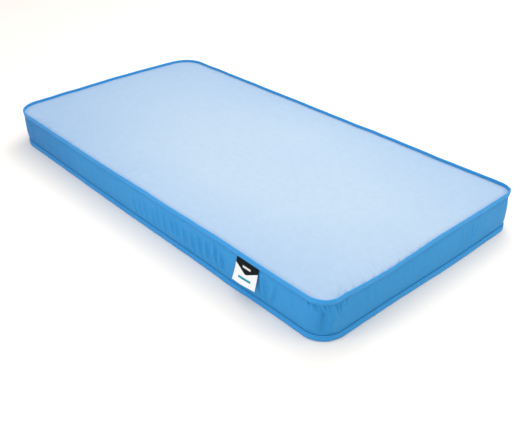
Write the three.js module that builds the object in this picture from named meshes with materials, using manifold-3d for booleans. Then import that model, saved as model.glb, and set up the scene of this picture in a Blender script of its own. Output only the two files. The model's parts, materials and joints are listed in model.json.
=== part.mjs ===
// A cot-bed sized pressure relief mattress: two foam layers in a knitted liner, inside a removable cover.
// The cover is two panels and a border, joined by bound seams that stand up as a lip, with a zip along
// the rear. Millimetres, +X along the length, +Y to the rear, +Z up, origin under the centre of the base.
import * as THREE from "three";
import { mergeVertices } from "three/addons/utils/BufferGeometryUtils.js";
import Module from "manifold-3d";

const wasm = await Module();
wasm.setup();

// ---- driving dimensions ----
const LENGTH = 1400; // outside of the bound seams
const WIDTH = 700;
const HEIGHT = 114; // floor to the top of the upper bound seam
const CORNER_RADIUS = 60; // in plan, at the outside of the bound seams
const CORNER_STEPS = 6; // facets in each plan corner
const GAP = 0.3; // between pieces that touch

const PANEL_CLOTH = 1.2; // coated cloth of the panels
const BAND_CLOTH = 1; // cloth of the border, and of every cloth edge inside a bound seam
const TAPE = 1.2; // binding tape
const LINER_CLOTH = 0.8;
const SUPPORT_FOAM = 60; // height of the firm lower layer
const COMFORT_FOAM = 39; // height of the soft upper layer

const LIP_OUTER_LEG = 16; // height of the tape's outer leg
const LIP_INNER_LEG = 9; // height of its inner leg
const LIP_TUCK = 2; // how far the stitching pulls the outer leg's edge inwards
const LIP_STRAIGHT = 8; // height of the lip above that tuck
const LIP_LIFT = 0.4; // floor to the lower lip, which just clears the floor
const BORDER_INSET = 4; // border's outer face, in from the outside of the lips
const FOAM_INSET = 11.5; // foam, in from the outside of the lips

const SLOT_WIDTH = 3; // cuts in the comfort foam, which leave cells that move on their own
const SLOT_DEPTH = 22;
const CELLS_LONG = 14;
const CELLS_WIDE = 7;

const ZIP_LENGTH = 1220; // the placket between the two ends of the border band
const PLACKET_OPENING = 13.2; // between the two strips' edges, for the coils and the slider
const COIL_LENGTH = 1190;
const COIL_WIDTH = 2.8; // one coil
const COIL_THICKNESS = 2.2;
const COIL_SPACING = 1.2; // between the two coils, where their turns would mesh
const ZIP_TAPE_WIDTH = 16;
const ZIP_TAPE = 0.8; // thickness
const THREAD_RADIUS = 0.4;
const SLIDER_X = 585; // closed position

const LABEL = { width: 75, drop: 56, flare: 21, x: 430, thickness: 1 };
const CARE_LABEL = { width: 48, drop: 30, flare: 20, x: -560, thickness: 1 };

// ---- heights worked out from them ----
const MID = (HEIGHT + LIP_LIFT) / 2; // the border, the lips and the zip mirror about this height
const LINER_LOW = PANEL_CLOTH + GAP;
const SUPPORT_LOW = LINER_LOW + LINER_CLOTH + GAP;
const COMFORT_LOW = SUPPORT_LOW + SUPPORT_FOAM + GAP;
const COMFORT_TOP = COMFORT_LOW + COMFORT_FOAM;
const LINER_TOP = COMFORT_TOP + GAP + LINER_CLOTH;
const PANEL_LOW = LINER_TOP + GAP;
const PANEL_TOP = PANEL_LOW + PANEL_CLOTH;
const BORDER_FACE = WIDTH / 2 - BORDER_INSET; // rear border's outer face, along Y

const material = (color, roughness, metalness = 0) =>
  new THREE.MeshStandardMaterial({ color, roughness, metalness });
const FINISH = {
  panel: material(0xbdd9f4, 0.75),
  base: material(0xe4ebf2, 0.8),
  border: material(0x3f90d4, 0.6),
  tape: material(0x4aa2ea, 0.55),
  thread: material(0x2f6fae, 0.7),
  label: material(0xf4f4f2, 0.7),
  liner: material(0xf1eee4, 0.95),
  comfort: material(0xe9e3c9, 0.95),
  support: material(0xc9d6dd, 0.95),
  zip: material(0x2f7fc6, 0.5),
  metal: material(0xc4c8cc, 0.3, 0.9),
};

// ---- solids ----
// A closed geometry as a manifold-3d solid, and a solid as a geometry again.
function solid(geometry) {
  const bare = geometry.clone();
  for (const name of Object.keys(bare.attributes)) {
    if (name !== "position") bare.deleteAttribute(name);
  }
  const merged = mergeVertices(bare, 1e-3);
  return new wasm.Manifold(
    new wasm.Mesh({
      numProp: 3,
      vertProperties: merged.attributes.position.array,
      triVerts: new Uint32Array(merged.index.array),
    }),
  );
}

function geometryOf(made) {
  const mesh = made.getMesh();
  return new THREE.BufferGeometry()
    .setAttribute("position", new THREE.BufferAttribute(mesh.vertProperties, 3))
    .setIndex(new THREE.BufferAttribute(mesh.triVerts, 1));
}

function block(x, y, z) {
  const geometry = new THREE.BoxGeometry(x[1] - x[0], y[1] - y[0], z[1] - z[0]);
  const middle = [x, y, z].map(([low, high]) => (low + high) / 2);
  return solid(geometry.translate(...middle));
}

// Plan outline of the mattress, "inset" in from the outside of the lips. The facets of its corners lie
// around the true arc, so that the straight sides are exact.
const STEP = Math.PI / (2 * CORNER_STEPS);
const FACET = Math.cos(STEP / 2);

function spread(x, y) {
  const dx = LENGTH / 2 - CORNER_RADIUS;
  const dy = WIDTH / 2 - CORNER_RADIUS;
  return [x + Math.sign(x) * dx, y + Math.sign(y) * dy];
}

function plate(inset, low, high) {
  const radius = (CORNER_RADIUS - inset) / FACET;
  const points = Array.from({ length: 4 * CORNER_STEPS }, (_, i) => {
    const angle = (i + 0.5) * STEP;
    const corner = [radius * Math.cos(angle), radius * Math.sin(angle)];
    return new THREE.Vector2(...spread(...corner));
  });
  const options = { depth: high - low, bevelEnabled: false };
  return solid(new THREE.ExtrudeGeometry(new THREE.Shape(points), options).translate(0, 0, low));
}

// A closed section of [inset, height] points, carried round that outline: it is turned on a lathe, and
// the four quarters of the turned ring are then moved out to the four corners.
function ring(section) {
  const closed = [...section, section[0]];
  const profile = closed.map(([inset, z]) => new THREE.Vector2((CORNER_RADIUS - inset) / FACET, z));
  const turned = new THREE.LatheGeometry(profile, 4 * CORNER_STEPS, STEP / 2);
  turned.rotateX(Math.PI / 2);
  const position = turned.attributes.position;
  for (let i = 0; i < position.count; i++) {
    position.setXY(i, ...spread(position.getX(i), position.getY(i)));
  }
  const made = solid(turned);
  return made.volume() > 0 ? made : ring([...section].reverse());
}

const mirrored = (section) => section.map(([inset, z]) => [inset, 2 * MID - z]);

function mesh(name, made, finish) {
  const part = new THREE.Mesh(geometryOf(made), finish);
  part.name = name;
  return part;
}

// ---- bound seams ----
// The tape is folded over the edges of a panel and the border, which stand side by side in the fold.
const FOLD = TAPE + 3 * GAP + 2 * BAND_CLOTH; // depth of the fold, to the inner leg
const BAND_EDGE = TAPE + GAP; // inset of the border's edge in the fold
const PANEL_EDGE = BAND_EDGE + BAND_CLOTH + GAP; // inset of the panel's edge in the fold
const EDGE_TOP = HEIGHT - TAPE - GAP;
const TUCK_TOP = HEIGHT - LIP_STRAIGHT;
const LEG_LOW = HEIGHT - LIP_OUTER_LEG;
const ROUND = 0.8; // chamfer on the fold
const CLOTH_TURN = 0.6; // chamfer where a panel's cloth turns up into the fold
const TURN_RISE = 0.7; // height of that chamfer above the cloth
const FLAT_FROM = 6; // inset at which the top panel lies flat

const tapeSection = [
  [0, HEIGHT - ROUND],
  [ROUND, HEIGHT],
  [FOLD + TAPE - ROUND, HEIGHT],
  [FOLD + TAPE, HEIGHT - ROUND],
  [FOLD + TAPE, HEIGHT - LIP_INNER_LEG],
  [FOLD, HEIGHT - LIP_INNER_LEG],
  [FOLD, HEIGHT - TAPE],
  [TAPE, HEIGHT - TAPE],
  [TAPE, TUCK_TOP],
  [TAPE + LIP_TUCK, LEG_LOW],
  [LIP_TUCK, LEG_LOW],
  [0, TUCK_TOP],
];

// A hexagon of sewing thread that lies on the tape, just above the outer leg's edge.
const THREAD_HEIGHT = LEG_LOW + 2;
const threadInset = LIP_TUCK * (1 - 2 / (TUCK_TOP - LEG_LOW)) - GAP - THREAD_RADIUS;
const threadSection = Array.from({ length: 6 }, (_, i) => {
  const angle = (i * Math.PI) / 3;
  return [
    threadInset + THREAD_RADIUS * Math.cos(angle),
    THREAD_HEIGHT + THREAD_RADIUS * Math.sin(angle),
  ];
});

// ---- border: one band round three sides, and a placket of two strips with the zip at the rear ----
const bandUpperFace = [
  [BAND_EDGE, EDGE_TOP],
  [BAND_EDGE, TUCK_TOP - GAP],
  [BAND_EDGE + LIP_TUCK, LEG_LOW - 1],
  [BORDER_INSET, LEG_LOW - 5],
];
const bandFace = [...bandUpperFace, ...mirrored(bandUpperFace).reverse()];
const bandBack = bandFace.map(([inset, z]) => [inset + BAND_CLOTH, z]).reverse();
const bandRing = ring([...bandFace, ...bandBack]);

const REAR = [WIDTH / 2 - CORNER_RADIUS, WIDTH / 2 + 10];
const half = ZIP_LENGTH / 2;
const borderBand = bandRing.subtract(block([-half, half], REAR, [-10, HEIGHT + 10]));
const stripX = [-half + GAP, half - GAP];
const STRIP_EDGE = PLACKET_OPENING / 2;
const placketUpper = bandRing.intersect(block(stripX, REAR, [MID + STRIP_EDGE, HEIGHT + 10]));
const placketLower = bandRing.intersect(block(stripX, REAR, [-10, MID - STRIP_EDGE]));

// ---- panels ----
const OVERLAP = 0.5; // of a panel's flat middle with its edge, which makes them one piece
const topPanelEdge = ring([
  [PANEL_EDGE, EDGE_TOP],
  [PANEL_EDGE, PANEL_TOP + TURN_RISE],
  [PANEL_EDGE + CLOTH_TURN, PANEL_LOW],
  [FLAT_FROM, PANEL_LOW],
  [FLAT_FROM, PANEL_TOP],
  [PANEL_EDGE + BAND_CLOTH, PANEL_TOP],
  [PANEL_EDGE + BAND_CLOTH, EDGE_TOP],
]);
const topPanel = plate(FLAT_FROM - OVERLAP, PANEL_LOW, PANEL_TOP).add(topPanelEdge);

// The base panel rises over the lower tape's inner leg, then goes down into the fold.
const riser = FOLD + TAPE + GAP; // inset of the riser's outer face
const riserBack = riser + PANEL_CLOTH;
const FOOT_FILLET = 1.2; // how much wider the riser is at the floor
const legTop = 2 * MID - (HEIGHT - LIP_INNER_LEG) + GAP;
const edgeLow = 2 * MID - EDGE_TOP;
const basePanelEdge = ring([
  [riserBack + FOOT_FILLET, 0],
  [riser, 0],
  [riser, legTop],
  [PANEL_EDGE + BAND_CLOTH, legTop],
  [PANEL_EDGE + BAND_CLOTH, edgeLow],
  [PANEL_EDGE, edgeLow],
  [PANEL_EDGE, legTop - TURN_RISE],
  [PANEL_EDGE + CLOTH_TURN, legTop + PANEL_CLOTH],
  [riserBack, legTop + PANEL_CLOTH],
  [riserBack, PANEL_CLOTH],
  [riserBack + FOOT_FILLET, PANEL_CLOTH],
]);
const basePanel = plate(riserBack + FOOT_FILLET - OVERLAP, 0, PANEL_CLOTH).add(basePanelEdge);

// ---- foam and liner ----
const supportFoam = plate(FOAM_INSET, SUPPORT_LOW, SUPPORT_LOW + SUPPORT_FOAM);

function castellated() {
  const long = LENGTH - 2 * FOAM_INSET;
  const wide = WIDTH - 2 * FOAM_INSET;
  const depth = [COMFORT_TOP - SLOT_DEPTH, COMFORT_TOP + 1];
  let foam = plate(FOAM_INSET, COMFORT_LOW, COMFORT_TOP);
  for (let i = 1; i < CELLS_LONG; i++) {
    const x = -long / 2 + (i * long) / CELLS_LONG;
    foam = foam.subtract(block([x - SLOT_WIDTH / 2, x + SLOT_WIDTH / 2], [-wide, wide], depth));
  }
  for (let i = 1; i < CELLS_WIDE; i++) {
    const y = -wide / 2 + (i * wide) / CELLS_WIDE;
    foam = foam.subtract(block([-long, long], [y - SLOT_WIDTH / 2, y + SLOT_WIDTH / 2], depth));
  }
  return foam;
}

// A knitted sock round both foams, open at the left end.
const MOUTH = [WIDTH / 2 - 75, 8]; // half width of the mouth, and its hem above and below
const innerLiner = plate(FOAM_INSET - GAP - LINER_CLOTH, LINER_LOW, LINER_TOP)
  .subtract(plate(FOAM_INSET - GAP, LINER_LOW + LINER_CLOTH, LINER_TOP - LINER_CLOTH))
  .subtract(
    block(
      [-LENGTH / 2, -LENGTH / 2 + 40],
      [-MOUTH[0], MOUTH[0]],
      [LINER_LOW + MOUTH[1], LINER_TOP - MOUTH[1]],
    ),
  );

// ---- zip, lying in the rear border ----
const zipTapeFace = BORDER_FACE - BAND_CLOTH - GAP; // outer face of the zip's own tapes
const coilY = [zipTapeFace + GAP, zipTapeFace + GAP + COIL_THICKNESS];
const coilEnd = COIL_LENGTH / 2;

// Pieces above the zip's middle line, or below it when side is -1.
function zipSide(side, x, y, from, to) {
  const z = side > 0 ? [MID + from, MID + to] : [MID - to, MID - from];
  return block(x, y, z);
}

const coilFrom = COIL_SPACING / 2;
const coilTo = coilFrom + COIL_WIDTH;
const zipTape = (side) =>
  zipSide(side, stripX, [zipTapeFace - ZIP_TAPE, zipTapeFace], 1, 1 + ZIP_TAPE_WIDTH);
const coil = (side) => zipSide(side, [-coilEnd, coilEnd], coilY, coilFrom, coilTo);
const STOP_LENGTH = 3.7;
const stopX = [coilEnd + GAP, coilEnd + GAP + STOP_LENGTH];
const topStop = (side) => zipSide(side, stopX, coilY, coilFrom, coilTo);
const bottomStop = block(
  stopX.map((x) => -x).reverse(),
  coilY,
  [MID - coilTo, MID + coilTo],
);

function zipThread(side) {
  const geometry = new THREE.CylinderGeometry(THREAD_RADIUS, THREAD_RADIUS, ZIP_LENGTH - 2, 6);
  geometry.rotateZ(Math.PI / 2);
  const y = BORDER_FACE + GAP + THREAD_RADIUS;
  return solid(geometry.translate(0, y, MID + side * (STRIP_EDGE + 3)));
}

// ---- slider and puller, built round the slider's own middle, then moved to SLIDER_X ----
const SLIDER = { length: 13, wide: 10, narrow: 8.4, plate: 1.2, web: 0.6, flange: 1 };
const frontPlateY = [coilY[1] + 0.4, coilY[1] + 0.4 + SLIDER.plate];
const backPlateY = [zipTapeFace - ZIP_TAPE - 0.4 - SLIDER.plate, zipTapeFace - ZIP_TAPE - 0.4];
const LUG = { length: 7.6, wall: 1.2, width: 2.2, rise: 2.2, bar: 1 };
const pivotY = frontPlateY[1] + LUG.rise / 2;

// A shield outline in X and Z, wide at the closing end, through a thickness along Y.
function shield(y, height) {
  const { length, narrow } = SLIDER;
  const outline = new THREE.Shape([
    new THREE.Vector2(-length / 2, -narrow / 2),
    new THREE.Vector2(length / 2 - 3, -height / 2),
    new THREE.Vector2(length / 2, -height / 2 + 2),
    new THREE.Vector2(length / 2, height / 2 - 2),
    new THREE.Vector2(length / 2 - 3, height / 2),
    new THREE.Vector2(-length / 2, narrow / 2),
  ]);
  const geometry = new THREE.ExtrudeGeometry(outline, { depth: y[1] - y[0], bevelEnabled: false });
  return solid(geometry.rotateX(Math.PI / 2).translate(0, y[1], MID));
}

function slider() {
  const { length, wide, web, flange } = SLIDER;
  const inside = [coilY[0] + 0.2, frontPlateY[0] + 0.1];
  const arch = block(
    [-LUG.length / 2, LUG.length / 2],
    [frontPlateY[1] - 0.1, frontPlateY[1] + LUG.rise + LUG.bar],
    [MID - LUG.width / 2, MID + LUG.width / 2],
  ).subtract(
    block(
      [-LUG.length / 2 + LUG.wall, LUG.length / 2 - LUG.wall],
      [frontPlateY[1], frontPlateY[1] + LUG.rise],
      [MID - LUG.width, MID + LUG.width],
    ),
  );
  const webBlock = block([2, 5], [backPlateY[1] - 0.1, inside[1]], [MID - web / 2, MID + web / 2]);
  let made = shield(frontPlateY, wide).add(shield(backPlateY, wide)).add(webBlock).add(arch);
  for (const side of [-1, 1]) {
    const edge = side * (wide / 2 - flange / 2);
    const z = [MID + edge - flange / 2, MID + edge + flange / 2];
    made = made.add(block([0, length / 2 - 3.2], inside, z));
  }
  return made.translate([SLIDER_X, 0, 0]);
}

// The puller's crossbar turns under the slider's arch; two arms join it to the tab.
const PULLER = { reach: 32, width: 8, thickness: 1.4, armGap: 1.6, arm: 1.2, tabFrom: 6.5 };

function puller() {
  const { reach, width, thickness, armGap, arm, tabFrom } = PULLER;
  const y = [pivotY - thickness / 2, pivotY + thickness / 2];
  const outer = armGap + arm;
  const crossbar = block([-0.6, 0.6], [pivotY - 0.6, pivotY + 0.6], [MID - outer, MID + outer]);
  const tab = new THREE.Shape()
    .moveTo(-tabFrom, -width / 2 + 1)
    .lineTo(-tabFrom, width / 2 - 1)
    .lineTo(-reach + width / 2, width / 2)
    .absarc(-reach + width / 2, 0, width / 2, Math.PI / 2, (3 * Math.PI) / 2, false);
  const options = { depth: thickness, bevelEnabled: false, curveSegments: 8 };
  const tabGeometry = new THREE.ExtrudeGeometry(tab, options);
  let made = crossbar.add(solid(tabGeometry.rotateX(Math.PI / 2).translate(0, y[1], MID)));
  for (const side of [-1, 1]) {
    const middle = side * (armGap + arm / 2);
    const z = [MID + middle - arm / 2, MID + middle + arm / 2];
    made = made.add(block([-tabFrom - 0.5, 0.6], y, z));
  }
  return made.translate([SLIDER_X, 0, 0]);
}

// ---- labels: each hangs from the upper bound seam, under the tape's edge ----
const LABEL_HINGE_Z = LEG_LOW - 1;
const LABEL_HINGE_Y = WIDTH / 2 - 0.8;

function label(name, { width, drop, flare, x, thickness }, side) {
  const tag = new THREE.BoxGeometry(width, thickness, drop).translate(0, 0, -drop / 2);
  const part = new THREE.Mesh(tag, FINISH.label);
  part.name = name;
  part.position.set(x + width / 2, side * LABEL_HINGE_Y, LABEL_HINGE_Z);
  part.rotation.x = side * THREE.MathUtils.degToRad(flare);
  return part;
}

// ---- assembly ----
const cover = new THREE.Group();
cover.add(
  mesh("top_panel", topPanel, FINISH.panel),
  mesh("base_panel", basePanel, FINISH.base),
  mesh("border_band", borderBand, FINISH.border),
  mesh("zip_placket_upper", placketUpper, FINISH.border),
  mesh("zip_placket_lower", placketLower, FINISH.border),
  mesh("top_binding", ring(tapeSection), FINISH.tape),
  mesh("bottom_binding", ring(mirrored(tapeSection)), FINISH.tape),
  mesh("top_binding_thread", ring(threadSection), FINISH.thread),
  mesh("bottom_binding_thread", ring(mirrored(threadSection)), FINISH.thread),
  label("front_label", LABEL, -1),
  label("care_label", CARE_LABEL, 1),
);

const zip = new THREE.Group();
for (const [word, side] of [["upper", 1], ["lower", -1]]) {
  zip.add(
    mesh("zip_tape_" + word, zipTape(side), FINISH.zip),
    mesh("zip_coil_" + word, coil(side), FINISH.zip),
    mesh("zip_top_stop_" + word, topStop(side), FINISH.metal),
    mesh("zip_thread_" + word, zipThread(side), FINISH.thread),
  );
}
zip.add(
  mesh("zip_bottom_stop", bottomStop, FINISH.metal),
  mesh("zip_slider", slider(), FINISH.metal),
  mesh("zip_puller", puller(), FINISH.metal),
);

const core = new THREE.Group();
core.add(
  mesh("inner_liner", innerLiner, FINISH.liner),
  mesh("comfort_foam", castellated(), FINISH.comfort),
  mesh("support_foam", supportFoam, FINISH.support),
);

const mattress = new THREE.Group();
mattress.add(cover, zip, core);

export default mattress;
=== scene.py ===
import json
import math
import random

import bmesh
import bpy
import numpy as np
from mathutils import Matrix, Vector


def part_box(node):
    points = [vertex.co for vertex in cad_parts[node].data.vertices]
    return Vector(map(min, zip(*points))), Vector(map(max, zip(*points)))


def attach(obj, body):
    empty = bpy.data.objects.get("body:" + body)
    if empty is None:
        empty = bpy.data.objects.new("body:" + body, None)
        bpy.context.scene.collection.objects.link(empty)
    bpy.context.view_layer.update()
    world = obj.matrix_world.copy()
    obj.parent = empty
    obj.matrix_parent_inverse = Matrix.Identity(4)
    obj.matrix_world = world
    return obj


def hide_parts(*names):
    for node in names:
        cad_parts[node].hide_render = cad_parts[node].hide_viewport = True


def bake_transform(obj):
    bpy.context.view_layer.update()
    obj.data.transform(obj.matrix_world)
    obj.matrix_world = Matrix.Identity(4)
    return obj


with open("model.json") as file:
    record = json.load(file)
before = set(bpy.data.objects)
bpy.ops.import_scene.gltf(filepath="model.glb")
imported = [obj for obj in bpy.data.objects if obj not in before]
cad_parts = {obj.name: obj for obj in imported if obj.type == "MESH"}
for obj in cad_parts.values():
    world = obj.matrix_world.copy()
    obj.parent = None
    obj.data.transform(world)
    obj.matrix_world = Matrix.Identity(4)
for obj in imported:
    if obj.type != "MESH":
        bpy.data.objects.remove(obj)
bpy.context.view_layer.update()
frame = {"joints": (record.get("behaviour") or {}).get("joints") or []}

ROOT = "mattress"

# ---- sizes, from the frame ----
HALF_X, HALF_Y, LIP_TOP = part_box("top_binding")[1]
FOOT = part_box("bottom_binding")[0].z
MIDDLE = (LIP_TOP + FOOT) / 2  # the zip's height, and half way up the border
PLACKET_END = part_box("zip_placket_upper")[1].x
PLACKET_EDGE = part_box("zip_placket_upper")[0].z - MIDDLE
FOAM_INSET = HALF_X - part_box("support_foam")[1].x
TAPE_LEG = 0.0150  # height of a tape's outer leg
LIP_EDGE = LIP_TOP - TAPE_LEG  # lower edge of the upper tape
FOOT_TOP = FOOT + TAPE_LEG  # upper edge of the lower tape

# Corner radii in plan at the lip and at the foot: front left, front right, rear right, rear left.
LIP_RADII = (0.075, 0.050, 0.040, 0.080)
FOOT_RADII = (0.080, 0.060, 0.045, 0.080)
CLOTH = 0.0010
TAPE = 0.0011

PERIMETER = 4 * (HALF_X + HALF_Y)
# Places along the outline are given by "mark": metres along its sharp-cornered version, which is x on
# the front, and goes on round the right end, the rear and the left end.
MARK_FRONT_RIGHT = HALF_X
MARK_REAR_RIGHT = HALF_X + 2 * HALF_Y
MARK_REAR_LEFT = MARK_REAR_RIGHT + 2 * HALF_X
MARK_FRONT_LEFT = MARK_REAR_LEFT + 2 * HALF_Y


# ---- small numeric helpers ----
def smooth(low, high, value):
    t = np.clip((value - low) / (high - low), 0, 1)
    return t * t * (3 - 2 * t)


def gap(mark, place):
    """Signed distance along the outline from a place to each mark."""
    return (mark - place + PERIMETER / 2) % PERIMETER - PERIMETER / 2


def hump(mark, place, width):
    return np.exp(-((gap(mark, place) / width) ** 2))


def waves(mark, terms):
    """A slow waver along the outline, from (turns per lap, size, phase) terms."""
    angle = 2 * math.pi * mark / PERIMETER
    return sum(size * np.sin(turns * angle + phase) for turns, size, phase in terms)


def unit(vectors):
    return vectors / np.maximum(np.linalg.norm(vectors, axis=-1, keepdims=True), 1e-12)


def walked(points):
    """How far along a path each of its points is."""
    return np.concatenate([[0], np.cumsum(np.linalg.norm(np.diff(points, axis=0), axis=1))])


def every_pair(rows, columns):
    """Row and column numbers of every cell, as two flat arrays."""
    return [a.ravel() for a in np.meshgrid(np.arange(rows), np.asarray(columns), indexing="ij")]


def curve_through(points, rows):
    """Evenly spaced rows on a smooth curve through a few section points."""
    p = np.array(points, float)
    ends = np.vstack([2 * p[0] - p[1], p, 2 * p[-1] - p[-2]])
    t = np.linspace(0, len(p) - 1, 40 * len(p))
    i = np.minimum(t.astype(int), len(p) - 2)
    f = (t - i)[:, None]
    a, b, c, d = ends[i], ends[i + 1], ends[i + 2], ends[i + 3]
    fine = 0.5 * (2 * b + (c - a) * f + (2 * a - 5 * b + 4 * c - d) * f**2
                  + (3 * b - a - 3 * c + d) * f**3)
    length = walked(fine)
    even = np.linspace(0, length[-1], rows)
    return np.column_stack([np.interp(even, length, fine[:, k]) for k in range(2)])


# ---- the outline ----
LONG_STEPS, SHORT_STEPS, ARC_STEPS = 500, 250, 60


def radii_at(height):
    share = min(max(height / LIP_TOP, 0), 1)
    return [low + (high - low) * share for low, high in zip(FOOT_RADII, LIP_RADII)]


def side_of(k):
    """Side k, from the front round to the left end: its turn, the directions along it and outwards,
    half its length, and its distance from the middle."""
    turn = k * math.pi / 2
    along = np.array([math.cos(turn), math.sin(turn)])
    out = np.array([along[1], -along[0]])
    return turn, along, out, *((HALF_X, HALF_Y) if k % 2 == 0 else (HALF_Y, HALF_X))


def outline(height):
    """Plan points, outward normals and marks all round, at a height."""
    radii = radii_at(height)
    points, normals, marks = [], [], []
    mark = -HALF_X
    for k in range(4):
        r0, r1 = radii[k], radii[(k + 1) % 4]
        turn, along, out, reach, side = side_of(k)
        steps = LONG_STEPS if k % 2 == 0 else SHORT_STEPS
        t = np.arange(steps) / steps
        start = out * side + along * (r0 - reach)
        points.append(start + np.outer(t * (2 * reach - r0 - r1), along))
        normals.append(np.tile(out, (steps, 1)))
        marks.append(mark + LIP_RADII[k] + t * (2 * reach - LIP_RADII[k] - LIP_RADII[(k + 1) % 4]))
        mark += 2 * reach
        angle = turn - math.pi / 2 + np.arange(ARC_STEPS) / ARC_STEPS * math.pi / 2
        arc = np.column_stack([np.cos(angle), np.sin(angle)])
        points.append(out * (side - r1) + along * (reach - r1) + arc * r1)
        normals.append(arc)
        lip = LIP_RADII[(k + 1) % 4]
        marks.append(mark + lip * (2 * np.arange(ARC_STEPS) / ARC_STEPS - 1))
    return np.concatenate(points), np.concatenate(normals), np.concatenate(marks)


def side_bow(mark, height):
    """How far the soft sides belly outwards in plan: each by its own amount, at the lip and the foot."""
    share = np.clip(height / LIP_TOP, 0, 1)
    front = share * 0.0036 * hump(mark, -0.22, 0.30) + (1 - share) * 0.0036 * hump(mark, -0.05, 0.42)
    front = front + (1 - share) * 0.0028 * hump(mark, 0.40, 0.07)
    right = share * 0.0022 * hump(mark, MARK_FRONT_RIGHT + 0.22, 0.12)
    right = right + (1 - share) * 0.0042 * hump(mark, MARK_FRONT_RIGHT + 0.45, 0.15)
    rear = 0.0020 * hump(mark, MARK_REAR_RIGHT + HALF_X, 0.40)
    return front + right + rear


def lip_sway(mark):
    """How far the lip leans outwards."""
    slow = waves(mark, [(7, 0.0004, 1.0), (13, 0.0004, 4.0), (29, 0.00025, 2.0), (47, 0.00015, 0.5)])
    return 0.0004 + slow + 0.0014 * hump(mark, MARK_FRONT_RIGHT + 0.22, 0.10)


def lip_lift(mark):
    """How far the lip, the seam and the panel's edge rise above their nominal height."""
    left = gap(mark, (MARK_REAR_LEFT + MARK_FRONT_LEFT) / 2) / HALF_Y
    crown = 0.0034 * np.cos(np.clip(left, -1, 1) * math.pi / 2) ** 2
    bump = 0.0014 * hump(mark, MARK_FRONT_RIGHT + 0.062, 0.014)
    dips = 0.0008 * hump(mark, 0.18, 0.05) - 0.0006 * hump(mark, MARK_REAR_RIGHT + 0.35, 0.09)
    dips = dips + 0.0030 * hump(mark, MARK_FRONT_RIGHT + 0.22, 0.10) + 0.0012 * hump(mark, -0.25, 0.20)
    slow = waves(mark, [(11, 0.0003, 2.2), (23, 0.00025, 0.3), (41, 0.0002, 5.0)])
    return crown + bump - dips + slow


def around(section, bend):
    """A section's rows carried round the outline. bend(mark, inset, height) gives the extra inset and
    the extra height all round for one row."""
    rows = []
    for inset, height in section:
        points, normals, mark = outline(height)
        extra_in, extra_up = bend(mark, inset, height)
        share = smooth(MIDDLE, LIP_EDGE, height)
        lean = smooth(LIP_EDGE - 0.01, LIP_TOP, height)
        inward = inset + extra_in - lip_sway(mark) * lean - side_bow(mark, height)
        plan = points - normals * inward[:, None]
        rows.append(np.column_stack([plan, height + extra_up + lip_lift(mark) * share]))
    return np.array(rows)


# ---- meshes ----
def put(name, data):
    """An object with this data, in the scene."""
    made = bpy.data.objects.new(name, data)
    bpy.context.scene.collection.objects.link(made)
    return made


def new_object(name, verts, faces, uvs=None, sharp=50):
    mesh = bpy.data.meshes.new(name)
    mesh.from_pydata(np.asarray(verts).tolist(), [], [tuple(f) for f in np.asarray(faces).tolist()])
    if uvs is not None:
        layer = mesh.uv_layers.new(name="cloth")
        layer.data.foreach_set("uv", np.asarray(uvs, np.float32).ravel())
    mesh.polygons.foreach_set("use_smooth", np.ones(len(mesh.polygons), bool))
    mesh.validate()
    mesh.set_sharp_from_angle(angle=math.radians(sharp))
    mesh.update()
    return put(name, mesh)


def sheet_mesh(name, grid, thickness, closed, along=None, across=None):
    """A closed thin solid from a grid of points (rows down, stations along): the cloth's face, and its
    back a thickness behind. The cloth's own coordinates, in metres, go to the UV map."""
    rows, count = grid.shape[:2]
    if closed:
        du = np.roll(grid, -1, 1) - np.roll(grid, 1, 1)
    else:
        du = np.gradient(grid, axis=1)
    dv = np.gradient(grid, axis=0)
    normal = unit(np.cross(dv, du))
    verts = np.concatenate([grid.reshape(-1, 3), (grid - normal * thickness).reshape(-1, 3)])
    if along is None:
        along = walked(grid[rows // 2])
    if closed:
        along = np.append(along, along[0] + PERIMETER)
    if across is None:
        across = walked(grid[:, 0])
    back = rows * count
    columns = np.arange(count if closed else count - 1)
    r, c = every_pair(rows - 1, columns)

    def corner(row, column, behind):
        index = behind * back + row * count + column % count
        return index, np.column_stack([along[column], across[row]])

    quads, maps = [], []

    def add(*corners):
        quads.append(np.column_stack([index for index, _ in corners]))
        maps.append(np.stack([uv for _, uv in corners], axis=1))

    add(corner(r, c, 0), corner(r + 1, c, 0), corner(r + 1, c + 1, 0), corner(r, c + 1, 0))
    add(corner(r, c, 1), corner(r, c + 1, 1), corner(r + 1, c + 1, 1), corner(r + 1, c, 1))
    c = columns
    first, last = np.zeros_like(c), np.full_like(c, rows - 1)
    add(corner(first, c, 0), corner(first, c + 1, 0), corner(first, c + 1, 1), corner(first, c, 1))
    add(corner(last, c, 0), corner(last, c, 1), corner(last, c + 1, 1), corner(last, c + 1, 0))
    if not closed:
        r = np.arange(rows - 1)
        near, far = np.zeros_like(r), np.full_like(r, count - 1)
        add(corner(r, near, 0), corner(r, near, 1), corner(r + 1, near, 1), corner(r + 1, near, 0))
        add(corner(r, far, 0), corner(r + 1, far, 0), corner(r + 1, far, 1), corner(r, far, 1))
    return new_object(name, verts, np.concatenate(quads), np.concatenate(maps).reshape(-1, 2))


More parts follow.
